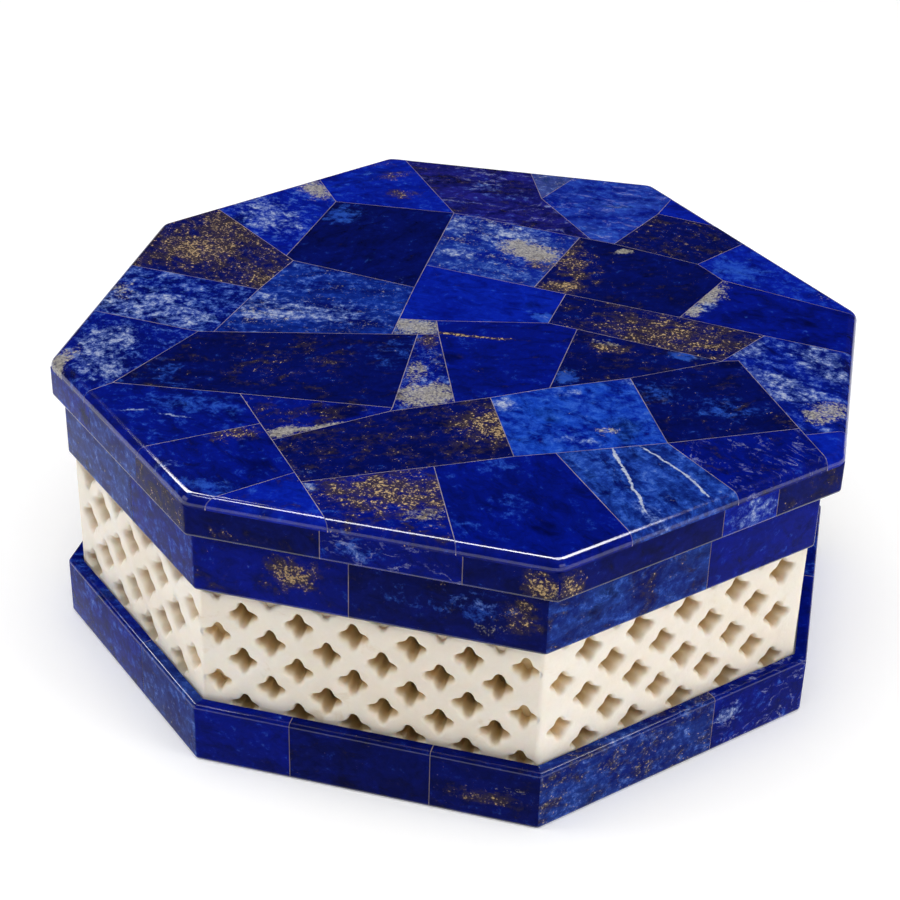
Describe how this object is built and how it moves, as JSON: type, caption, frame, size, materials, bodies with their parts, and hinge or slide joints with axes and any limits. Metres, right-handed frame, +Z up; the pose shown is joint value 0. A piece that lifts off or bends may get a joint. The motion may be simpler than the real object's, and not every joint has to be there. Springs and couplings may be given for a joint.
{
  "type": "marble jewelry box",
  "caption": "Octagonal box of pierced marble with stepped bands and a lift-off lid paved in polished lapis lazuli.",
  "frame": {"origin": "middle of the underside, where the box stands on the table", "axes": "+Z up, +X to the right, -Y towards the front side that faces the viewer"},
  "size_m": [0.1515, 0.151, 0.0605],
  "materials": {
    "marble": "smooth, softly polished",
    "lapis_base": "polished",
    "lapis_rim": "polished",
    "lapis_lid_edge": "polished",
    "lapis_lid_top": "polished"
  },
  "bodies": {
    "root": {"marble_body": "marble", "marble_lid": "marble", "base_band": "lapis_base", "rim_band": "lapis_rim", "lid_edge_band": "lapis_lid_edge", "lid_slice_01": "lapis_lid_top", "lid_slice_02": "lapis_lid_top", "lid_slice_03": "lapis_lid_top", "lid_slice_04": "lapis_lid_top", "lid_slice_05": "lapis_lid_top", "lid_slice_06": "lapis_lid_top", "lid_slice_07": "lapis_lid_top", "lid_slice_08": "lapis_lid_top", "lid_slice_09": "lapis_lid_top", "lid_slice_10": "lapis_lid_top", "lid_slice_11": "lapis_lid_top", "lid_slice_12": "lapis_lid_top", "lid_slice_13": "lapis_lid_top", "lid_slice_14": "lapis_lid_top", "lid_slice_15": "lapis_lid_top", "lid_slice_16": "lapis_lid_top", "lid_slice_17": "lapis_lid_top", "lid_slice_18": "lapis_lid_top", "lid_slice_19": "lapis_lid_top", "lid_slice_20": "lapis_lid_top", "lid_slice_21": "lapis_lid_top", "lid_slice_22": "lapis_lid_top", "lid_slice_23": "lapis_lid_top", "lid_slice_24": "lapis_lid_top", "lid_slice_25": "lapis_lid_top", "lid_slice_26": "lapis_lid_top", "lid_slice_27": "lapis_lid_top", "lid_slice_28": "lapis_lid_top", "lid_slice_29": "lapis_lid_top", "lid_slice_30": "lapis_lid_top", "lid_slice_31": "lapis_lid_top", "lid_slice_32": "lapis_lid_top", "lid_slice_33": "lapis_lid_top", "lid_slice_34": "lapis_lid_top", "lid_slice_35": "lapis_lid_top", "lid_slice_36": "lapis_lid_top"}
  },
  "joints": []
}
